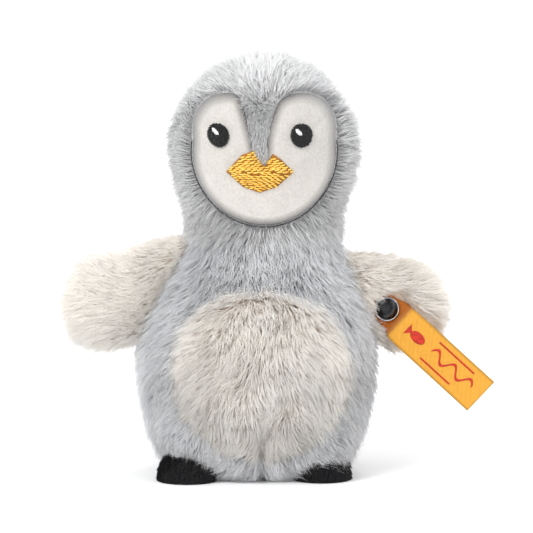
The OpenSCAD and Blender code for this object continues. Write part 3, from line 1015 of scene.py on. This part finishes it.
def face_lift(flat):
    """Height of the velour: rolled into its seam, full inside, and drawn in by the stitching."""
    edge = edge_distance(FACE, flat)
    lift = 0.25 + (VELOUR - 0.25) * np.sqrt(smooth(edge / 2.4)) + 0.9 * (1 - np.exp(-edge / 7))
    for side in (-1, 1):
        away = np.hypot(flat[:, 0] - side * EYE_X, flat[:, 1] - EYE_Z)
        lift = lift + groove(np.maximum(away - EYE_R, 0), 1.6, 0.55)
    beak = np.where(inside(BEAK_OUTLINE, flat), 0, edge_distance(BEAK_OUTLINE, flat))
    lift = lift + groove(beak, 1.8, 0.45)
    crease = edge_distance(np.array([[14.4, 96.4], [16.2, 98.4], [17.6, 99.4], [16.2, 98.4]]), flat)
    full = np.stack([flat[:, 0], np.zeros(len(flat)), flat[:, 1]], axis=1)
    return lift + groove(crease, 0.5, 0.3) + 0.12 * ripple(full, 9, 12)


def pad_piece(name, outline, step, lift, thickness, material, nodes, slot):
    """Padded patch on the head's front, closed at its back."""
    flat, triangles = patch(outline, step)
    high = lift(flat)
    skin = close_sheet(on_head(flat, high), on_head(flat, high - thickness), triangles)
    piece = make_object(name, *skin, material)
    # edge places the velour's painted seam shade
    edge = np.clip(edge_distance(outline, flat) / 5, 0, 1)
    # painted shade: tone darkens the velour towards the top of the face, where the lamps light it most
    tone = 1 - 0.13 * smooth((flat[:, 1] - FACE_Z + 14) / 16)
    pad = np.tile(np.stack([edge, tone, edge, np.ones_like(edge)], axis=1), (2, 1))
    add_values(piece, "pad", pad[:len(skin[0])])
    rides(piece, slot, "head", *nodes)
    return piece


def stitches(middles, directions, lengths, radius, lift, arch=0.15):
    """Short threads that rise off the head's front and dip back at their ends."""
    shares = np.array([-0.5, -0.38, 0, 0.38, 0.5])
    rise = np.array([-0.35, 0.02, arch, 0.02, -0.35])
    thick = np.array([0.35, 0.9, 1.0, 0.9, 0.35]) * radius
    flat = middles[:, None] + shares[None, :, None] * (lengths[:, None] * directions)[:, None]
    high = lift(flat.reshape(-1, 2)).reshape(len(middles), -1) + rise
    paths = on_head(flat.reshape(-1, 2), high.ravel()).reshape(len(middles), -1, 3)
    return tubes(paths, np.tile(thick, (len(middles), 1)))


def thread_piece(name, made, material, nodes, slot):
    rides(make_object(name, *made, material), slot, "head", *nodes)


def make_eye(side, rng):
    """Eye of short black stitches over a pad, with a slanted white glint."""
    name = "left" if side > 0 else "right"
    centre = np.array([side * EYE_X, EYE_Z])
    outline = arc(centre, EYE_R - 0.25, 0, 350)

    def top(flat):
        return face_lift(flat) + 0.25

    def crown(flat):
        away = np.hypot(*(flat - centre).T)
        return face_lift(flat) + 0.4 + 0.35 * smooth(1 - away / EYE_R)

    pad_piece(f"{name}_eye_pad", outline, 0.5, top, 0.6, BLACK_THREAD, [], "black_thread")
    rows = np.arange(-EYE_R + 0.15, EYE_R, 0.27)
    middles, lengths = [], []
    for number, row in enumerate(rows):
        half = math.sqrt(EYE_R ** 2 - row ** 2) * 0.92
        edges = np.arange(-half - 0.4 * (number % 2), half, 1.1)
        for start in edges:
            first, last = max(start, -half), min(start + 1.15, half)
            if last - first > 0.35:
                middles.append([(first + last) / 2, row])
                lengths.append(last - first + 0.15)
    middles = np.array(middles) + rng.normal(scale=0.05, size=(len(middles), 2))
    slant = math.radians(24)
    turn = np.array([[math.cos(slant), math.sin(slant)], [-math.sin(slant), math.cos(slant)]])
    directions = np.tile(turn[0], (len(middles), 1))
    made = stitches(centre + middles @ turn, directions, np.array(lengths), 0.17, crown)
    thread_piece(f"{name}_eye_thread", made, BLACK_THREAD, [f"{name}_eye"], "black_thread")

    def shine(flat):
        return crown(flat) + 0.28

    count = 5
    across = np.linspace(-0.62, 0.62, count)
    leaning = np.array([math.sin(math.radians(-16)), math.cos(math.radians(-16))])
    beside = np.array([leaning[1], -leaning[0]])
    middles = centre + [-0.75, 0.95] + across[:, None] * beside * 0.9 - across[:, None] * leaning * 0.8
    made = stitches(middles, np.tile(leaning, (count, 1)), np.array([1.3, 1.8, 2.0, 1.7, 1.1]), 0.17, shine)
    thread_piece(f"{name}_eye_glint_thread", made, WHITE_THREAD, [f"{name}_eye_glint"], "white_thread")


def beak_lift(flat):
    """The beak is fullest along the mouth."""
    edge = edge_distance(BEAK_OUTLINE, flat)
    mouth = np.exp(-((flat[:, 1] - MOUTH_Z - 0.3) / 3.2) ** 2)
    return face_lift(flat) + 0.3 + 1.5 * smooth(edge / 3.2) * (0.4 + 0.6 * mouth)


def make_beak(rng):
    # the pad's darker gold is painted shade between the stitches
    pad_piece("beak_pad", BEAK_OUTLINE, 0.5, beak_lift, 0.9, SHADED_GOLD_PAD, [], "gold_thread")
    middles, directions = [], []
    pitch, run = 0.58, 1.6
    rows = np.arange(BEAK_OUTLINE[:, 1].min() + 0.1, BEAK_OUTLINE[:, 1].max(), pitch)
    holes = np.arange(-BEAK_HALF + 1, BEAK_HALF, 2.0)
    for number, row in enumerate(rows):
        for x in np.arange(-BEAK_HALF, BEAK_HALF, run) + run * (0.5 * (number % 2) + 0.13 * (number % 3)):
            on_mouth = abs(row - (MOUTH_Z - 0.1)) < pitch * 0.55
            if on_mouth and np.abs(holes - x).min() < 0.3:
                continue
            low = row < MOUTH_Z
            fan = -0.02 * x * (MOUTH_Z - row) if low else 0.0
            slant = math.radians(14) * (1 if number % 2 else 0.55) * (-1 if low else 1) + fan
            middles.append([x, row])
            directions.append([math.cos(slant), math.sin(slant)])
    middles, directions = np.array(middles), np.array(directions)
    middles = middles + rng.normal(scale=0.05, size=middles.shape)
    kept = inside(BEAK_OUTLINE, middles) & (edge_distance(BEAK_OUTLINE, middles) > 0.18)
    middles, directions = middles[kept], directions[kept]
    room = edge_distance(BEAK_OUTLINE, middles)
    lengths = np.clip(0.75 + 1.1 * room, 0.8, run + 0.25) * rng.uniform(0.9, 1.1, len(middles))
    made = stitches(middles, directions, lengths, 0.25, lambda flat: beak_lift(flat) + 0.12, arch=0.1)
    thread_piece("beak_thread", made, GOLD_THREAD, ["beak"], "gold_thread")


def make_face_seam():
    """Dark stitches along the chin and the cheeks."""
    line = arc([FACE_X, FACE_Z], FACE_R + 0.35, 172, 368)
    dots = resample(line, 1.25)
    steps = dots[1:] - dots[:-1]
    middles = (dots[1:] + dots[:-1]) / 2
    made = stitches(middles, unit(steps), np.full(len(middles), 1.3), 0.24,
                    lambda flat: np.full(len(flat), 0.75), arch=0.12)
    thread_piece("face_seam_thread", made, SEAM_THREAD, ["face_seam"], "seam_thread")


def make_face():
    rng = np.random.default_rng(300)
    face = pad_piece("face_velour", FACE, 0.55, face_lift, 1.3, FACE_VELOUR, ["face_panel"],
                     "face_velour")
    for side in (-1, 1):
        make_eye(side, rng)
    make_beak(rng)
    make_face_seam()


# ---- Wings ----

SEAM_LOW = -10.4
WING_TIP_R = 10.6
WING_ROOT = -5.2                # the wing's cloth starts at the body's
WINGS = {"left": (8.0, 42, 14.2), "right": (10.6, 31, 20.0)}    # reach, slant, seam's upper end
DIMPLE_R = 5.8                  # radius round the rivet where the clasped cloth is flat
FILL_CLEAR = 2.2                # the wing's fill stops this far from its edge
FILL_START = 0.6                # and this far outside its seam
FILL_UNDER = 1.3                # and lies this deep under its layers
FILL_HALF = 0.2                 # least half of the fill's thickness
SIM_SCALE = 20                  # the simulation works on an enlarged wing


def wing_outline(reach, slant, seam_high):
    """Mitten, in the wing's own plane with its seam upright."""
    tip = reach * np.array([math.cos(math.radians(slant)), -math.sin(math.radians(slant))])
    end = arc(tip, WING_TIP_R, -90 - slant, 90 - slant)
    return np.concatenate([[[WING_ROOT, SEAM_LOW]], end, [[WING_ROOT, seam_high]]])


def inflate(points, triangles, held, pressure, frames, cap):
    """Blows up a closed mesh as cloth, with the held points kept, and no point moved past cap."""
    mesh = bpy.data.meshes.new("cloth")
    mesh.from_pydata((points * MM * SIM_SCALE).tolist(), [], triangles.tolist())
    cloth = bpy.data.objects.new("cloth", mesh)
    bpy.context.scene.collection.objects.link(cloth)
    group = cloth.vertex_groups.new(name="held")
    group.add(np.flatnonzero(held).tolist(), 1.0, "REPLACE")
    settings = cloth.modifiers.new("cloth", "CLOTH").settings
    settings.use_pressure = True
    settings.uniform_pressure_force = pressure
    settings.effector_weights.gravity = 0
    settings.vertex_group_mass = "held"
    settings.quality = 6
    scene = bpy.context.scene
    for number in range(1, frames + 1):
        scene.frame_set(number)
    blown = cloth.evaluated_get(bpy.context.evaluated_depsgraph_get()).to_mesh()
    places = np.zeros(len(points) * 3)
    blown.vertices.foreach_get("co", places)
    bpy.data.objects.remove(cloth)
    scene.frame_set(1)
    moves = places.reshape(-1, 3) / (MM * SIM_SCALE) - points
    size = np.linalg.norm(moves, axis=1, keepdims=True)
    return points + moves * np.minimum(1, cap / np.maximum(size, 1e-9))


def wing_form(outline):
    """Both layers of a wing in its own frame: points, the front's triangles and the back's."""
    flat, triangles = patch(outline, 0.9)
    edge = edge_distance(outline, flat)
    root = smooth((flat[:, 0] - WING_ROOT) / 4)
    half = 0.5 + 3.1 * np.sqrt(np.clip(edge / 7, 0, 1)) * root + 1.6 * (1 - root)
    front = np.stack([flat[:, 0], -half, flat[:, 1]], axis=1)
    back = front * [1, -1, 1]
    points, faces = close_sheet(front, back, triangles)
    held = points[:, 0] < WING_ROOT + 1.5
    points = inflate(points, faces, held, pressure=2.5, frames=18, cap=2.6)
    count = len(triangles)
    return points, faces[:count], faces[count:2 * count]


def press_at_rivet(form):
    """Left wing with both of its layers drawn in round the rivet."""
    place, outward, seam = wing_frame(1)
    away = np.hypot(form[:, 0] - (RIVET - place) @ outward, form[:, 2] - (RIVET - place) @ seam)
    held = 1 - smooth((away - DIMPLE_R) / 5)
    form = form.copy()
    form[:, 1] += held * (np.clip(form[:, 1], -DIMPLE, DIMPLE) - form[:, 1])
    return form


def wing_frame(side):
    """Origin of a wing, its direction away from the body, and its seam's."""
    name = "left_wing_swing" if side > 0 else "right_wing_swing"
    place, axis = joint_place(name)
    seam = axis * np.sign(axis[2])
    return place, side * unit(np.cross([0, 1, 0], seam)), seam


def to_wing(points, side):
    """Points of the wing's own frame, carried to its place on the body."""
    place, outward, seam = wing_frame(side)
    return place + points[:, :1] * outward + points[:, 1:2] * [0, 1, 0] + points[:, 2:] * seam


def make_wings():
    for side, name in ((1, "left"), (-1, "right")):
        outline = wing_outline(*WINGS[name])
        form, front, back = wing_form(outline)
        if side > 0:
            form = press_at_rivet(form)
        placed = to_wing(form, side)
        order = [0, 1, 2] if side > 0 else [2, 1, 0]
        whole = np.concatenate([front, back])[:, order]
        normals = vertex_normals(placed, whole)
        for number, (layer, faces) in enumerate((("front", front), ("back", back))):
            make_wing_layer(name, side, layer, placed, normals, faces[:, order], 400 + number)
        make_wing_fill(name, side, outline, form, front[:, order])


def make_wing_fill(name, side, outline, form, triangles):
    """Fill between a wing's two layers, clear of its edge and of the body."""
    front, back = np.split(form, 2)
    deep = (edge_distance(outline, front[:, [0, 2]]) > FILL_CLEAR) & (front[:, 0] > FILL_START)
    front, back = front.copy(), back.copy()
    front[:, 1] = np.minimum(front[:, 1] + FILL_UNDER, -FILL_HALF)
    back[:, 1] = np.maximum(back[:, 1] - FILL_UNDER, FILL_HALF)
    inner = triangles[deep[triangles].all(axis=1)]
    skin = close_sheet(to_wing(front, side), to_wing(back, side), inner)
    piece = make_object(f"{name}_wing_fill", *skin, FILL)
    rides(piece, "polyester_fill", f"{name}_wing", f"{name}_wing_stuffing")


def make_wing_layer(name, side, layer, points, normals, triangles, seed):
    rng = np.random.default_rng(seed)
    place, outward, seam = wing_frame(side)
    density, length = PILE["wing"]
    roots, up = scatter(rng, points, triangles, density)
    if side > 0 and layer == "front":
        clear = ~clasped(roots)
        roots, up = roots[clear], up[clear]
    across = (roots - place) @ outward
    height = (roots - place) @ seam
    comb = np.tile(outward * 0.9 - np.array([0, 0, 0.35]), (len(roots), 1))
    comb = comb + 0.5 * (height / WING_TIP_R)[:, None] * seam * smooth(across / 12)[:, None]
    lengths = length * (0.75 + 0.25 * smooth((across + 4) / 10))
    stand = np.full(len(roots), 0.6)
    # painted shade: the wing's pile is painted darker towards its lower edge
    shade = 1.01 + 0.03 * ripple(roots, 14, 15) - 0.06 * smooth((-4 - height) / 8)
    if side > 0 and layer == "front":
        pressed = press_under_label(roots)[:, None]
        aside = np.sign(label_places(roots)[1])[:, None] * LABEL_ACROSS
        comb = comb * (1 - 0.3 * pressed) + 0.3 * pressed * aside
        lengths = lengths * (1 - 0.55 * pressed[:, 0])
        stand = stand * (1 - 0.5 * pressed[:, 0])
    pile = grow(rng, roots, up, comb, lengths, stand, STRAND_R, 10, 0.36, shade)
    skin = close_sheet(points, points - THICK_BACKING * normals, triangles)
    piece = plush_piece(f"{name}_wing_{layer}_plush", skin, pile, CREAM_PILE)
    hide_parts(f"{name}_wing_{layer}")
    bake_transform(piece)


# ---- Feet ----

FOOT_INSET = 0.3                # room for the pile round the foot and below it
FOOT_H = 7.0
FOOT_SIDE_POWER = 0.6           # squareness of the foot's side
FOOT_TOP_POWER = 0.8            # and of its top


def make_feet():
    turn = np.linspace(0, math.pi / 2, 20)
    outline = np.stack([
        np.maximum((FOOT_R - FOOT_INSET) * np.cos(turn) ** FOOT_SIDE_POWER, 0.05),
        FOOT_INSET + FOOT_H * np.sin(turn) ** FOOT_TOP_POWER
    ], axis=1)
    density, length = PILE["foot"]
    for number, (name, place) in enumerate(FEET.items()):
        points, triangles = turned(outline, step=0.8, place=place)
        rng = np.random.default_rng(500 + number)
        roots, normals = scatter(rng, points, triangles, density)
        away = roots - [*place, 4]
        comb = away * [1, 1, 0.2] - [0, 0, 2.0]
        count = len(roots)
        pile = grow(rng, roots, normals, comb, np.full(count, length), np.full(count, 0.45),
                    0.1, 10, 0.5, np.ones(count))
        skin = close_sheet(points, points - THICK_BACKING * vertex_normals(points, triangles), triangles)
        piece = plush_piece(f"{name}_foot_plush", skin, pile, BLACK_PILE)
        rides(piece, "black_plush", "torso", f"{name}_foot_upper")
        make_stuffing(f"{name}_foot_stuffing", "torso", outline, place=place, step=1.3)


# ---- Rivet and label ----

LABEL_W = 11
LABEL_END_R = 4.4               # round end that lies under the rivet
LABEL_LENGTH = 35.2             # from the rivet to the free end
LABEL_FULL = 4.2                # the ribbon is at its full width from here
LABEL_DROP = math.radians(42.7)
LABEL_ALONG = np.array([math.cos(LABEL_DROP), 0, -math.sin(LABEL_DROP)])
LABEL_ACROSS = np.array([math.sin(LABEL_DROP), 0, math.cos(LABEL_DROP)])
RIBBON_T = 0.45
RIVET = joint_place("label_pivot")[0]
DIMPLE = 2.7                    # half the left wing's thickness where the rivet clasps it


def label_places(points):
    """Places of points along the label and across it, from the rivet."""
    away = points - RIVET
    return away @ LABEL_ALONG, away @ LABEL_ACROSS


def press_under_label(points):
    """1 where the rivet or the ribbon lies on the wing's pile, 0 clear of them."""
    along, across = label_places(points)
    strip = smooth((LABEL_W / 2 + 1.2 - np.abs(across)) / 2) * smooth((along + 5) / 3)
    button = smooth((7.4 - np.hypot(along, across)) / 3)
    return np.maximum(strip, button)


def clasped(points):
    """True where the ribbon's end and the rivet clasp the wing's cloth, and its pile is gone."""
    return np.hypot(*label_places(points)) < LABEL_END_R + 0.3


def label_depth(along):
    """How far the ribbon's middle lies in front of the wing's middle: it folds up at the rivet."""
    fold = smooth((along - 3.3) / 2.2)
    return 3.25 + 4.5 * fold - 0.5 * smooth((along - 8) / 26)


def label_point(along, across, lift=0.0):
    """Point of the ribbon, lift in front of its middle."""
    depth = label_depth(along) + 0.25 * np.sin(across / LABEL_W * 3) * smooth(along / 10) + lift
    gather = 1 - 0.12 * np.exp(-(along / 5) ** 2)
    return (RIVET + along[:, None] * LABEL_ALONG + (across * gather)[:, None] * LABEL_ACROSS
            - depth[:, None] * np.array([[0, 1, 0]]))


def make_label():
    flat_outline = np.concatenate([
        arc([0, 0], LABEL_END_R, 90, 270),
        [[2.4, -5.2], [LABEL_FULL, -LABEL_W / 2]],
        [[LABEL_LENGTH, -LABEL_W / 2], [LABEL_LENGTH, LABEL_W / 2]],
        [[LABEL_FULL, LABEL_W / 2], [2.4, 5.2]],
    ])
    flat, triangles = patch(flat_outline, 0.45)
    middle = (flat[:, 0], flat[:, 1])
    top = label_point(*middle, RIBBON_T / 2)
    bottom = label_point(*middle, -RIBBON_T / 2)
    skin = close_sheet(top, bottom, triangles)
    piece = make_object("label_ribbon", *skin, RIBBON)
    edge = LABEL_W / 2 - np.abs(flat[:, 1])
    edge = np.minimum(edge, np.where(flat[:, 0] > 20, LABEL_LENGTH - flat[:, 0] + 0.4, 9))
    edge = np.clip(edge / 5, 0, 1)
    # painted shade mask: 0 on the fold at the rivet, rising to 1 past it
    fold = smooth((flat[:, 0] - LABEL_FULL) / 0.9)
    add_values(piece, "pad", np.tile(np.stack([edge, fold, edge, np.ones_like(edge)], axis=1), (2, 1)))
    layer = piece.data.uv_layers.new(name="OFBake")
    both = np.concatenate([flat + [6, 6], flat + [6, 22]]) / 44
    corners = np.zeros(len(piece.data.loops), int)
    piece.data.loops.foreach_get("vertex_index", corners)
    layer.data.foreach_set("uv", both[corners].astype(np.float32).ravel())
    rides(piece, "ribbon_weave", "label", "label")
    printed = make_print()


def make_print():
    """A plain fish, a wave and two bars, woven in red."""
    shapes = []
    turn = np.radians(np.arange(0, 360, 15))
    shapes.append(np.stack([11.2 + 2.4 * np.cos(turn), 0.2 + 1.5 * np.sin(turn)], axis=1))
    shapes.append(np.array([[9.1, 0.2], [7.4, 2.0], [7.4, -1.6]]))
    wave = np.linspace(0, 1, 40)
    crest = np.stack([16.5 + 15 * wave, 0.2 + 1.4 * np.sin(TAU * 2.5 * wave)], axis=1)
    band = np.array([0, 0.42])
    shapes.append(np.concatenate([crest + band, crest[::-1] - band]))
    for first, last, across in ((16.5, 29.5, 3.4), (15.5, 26.5, -3.4)):
        shapes.append(np.array([
            [first, across - 0.25], [last, across - 0.25], [last, across + 0.25], [first, across + 0.25]
        ]))
    parts = []
    for shape in shapes:
        flat, triangles = patch(shape, 0.4)
        top = label_point(flat[:, 0], flat[:, 1], RIBBON_T / 2 + 0.06)
        bottom = label_point(flat[:, 0], flat[:, 1], RIBBON_T / 2 - 0.06)
        parts.append(close_sheet(top, bottom, triangles))
    piece = make_object("label_print", *join(parts), PRINT_THREAD)
    rides(piece, "ribbon_weave", "label")
    return piece


def turned_about(profile, centre, sides=48):
    """Shape turned about a line along Y, from (radius, forward) rows that start and end near 0."""
    turn = TAU * np.arange(sides) / sides
    radius, forward = np.array(profile, float).T
    rings = np.stack([
        radius[:, None] * np.cos(turn), -forward[:, None] + 0 * turn, radius[:, None] * np.sin(turn)
    ], axis=-1).reshape(-1, 3)
    return rings + centre, ring_faces(len(profile), sides)


def make_rivet():
    """Dome with a painted dark reflection inside a bright rolled rim, on its post."""
    seat = 3.5
    profile = [
        (0.02, -3.6), (0.9, -3.6), (0.9, seat - 0.1), (2.9, seat - 0.1), (3.3, seat + 0.05),
        (3.45, seat + 0.4), (3.42, seat + 0.7), (3.3, seat + 0.85), (3.15, seat + 0.85),
        (3.05, seat + 0.75), (2.7, seat + 1.05), (2.1, seat + 1.42), (1.3, seat + 1.7),
        (0.6, seat + 1.79), (0.02, seat + 1.8)
    ]
    points, faces = turned_about(resample(profile, 0.25), RIVET)
    piece = make_object("rivet_dome", points, faces, CHROME)
    # painted reflection: the dome's faces take the dark chrome
    piece.data.materials.append(DARK_REFLECTION_CHROME)
    middles = points[faces].mean(axis=1) - RIVET
    domed = (np.hypot(middles[:, 0], middles[:, 2]) < 3.0) & (middles[:, 1] < -seat)
    piece.data.polygons.foreach_set("material_index", domed.astype(np.int32))
    rides(piece, "rivet_metal", "left_wing", "rivet_cap")


# ---- Hidden pieces and the frame's own nodes ----

def make_stuffing(node, body, outline, relief=None, hollow=None, place=None, step=2.6):
    """Fill under the backing of a form, with room for the node that lies in it."""
    points, triangles = turned(outline, step, relief, place)
    points = points - (BACKING + 0.5) * vertex_normals(points, triangles)
    columns = int(TAU * resample(outline, step)[:, 0].max() / step)
    column, after = np.arange(columns), (np.arange(columns) + 1) % columns
    last = len(points) - columns
    hubs = np.array([points[:columns].mean(axis=0), points[last:].mean(axis=0)])
    low = np.stack([after, column, np.full(columns, len(points))], axis=1)
    high = np.stack([last + column, last + after, np.full(columns, len(points) + 1)], axis=1)
    form = (np.concatenate([points, hubs]), np.concatenate([triangles, low, high]))
    if hollow:
        mesh = frame["nodes"][hollow].data
        mesh.calc_loop_triangles()
        inner = np.array([vertex.co for vertex in mesh.vertices]) / MM
        middle = inner.mean(axis=0)
        faces = np.array([triangle.vertices for triangle in mesh.loop_triangles])
        form = join([form, (middle + (inner - middle) * 1.02, faces[:, ::-1])])
    rides(make_object(f"{node}_fill", *form, FILL), "polyester_fill", body, node)


def dress_nodes():
    """Materials of the CAD nodes that stay."""
    looks = {
        "base_panel": BASE_CLOTH, "left_foot_sole": SOLE_CLOTH, "right_foot_sole": SOLE_CLOTH,
        "pellet_bag": BAG_CLOTH, "pellets": PELLETS, "rivet_washer": STEEL,
    }
    for name, material in looks.items():
        mesh = frame["nodes"][name].data
        mesh.materials.clear()
        mesh.materials.append(material)


add_camera()
add_studio()
dress_nodes()
make_torso()
make_stuffing("body_stuffing", "torso", torso_outline(), torso_relief, hollow="pellet_bag")
make_head()
make_stuffing("head_stuffing", "head", head_outline(), head_relief)
make_face()
make_wings()
make_feet()
make_label()
make_rivet()

bpy.context.view_layer.update()
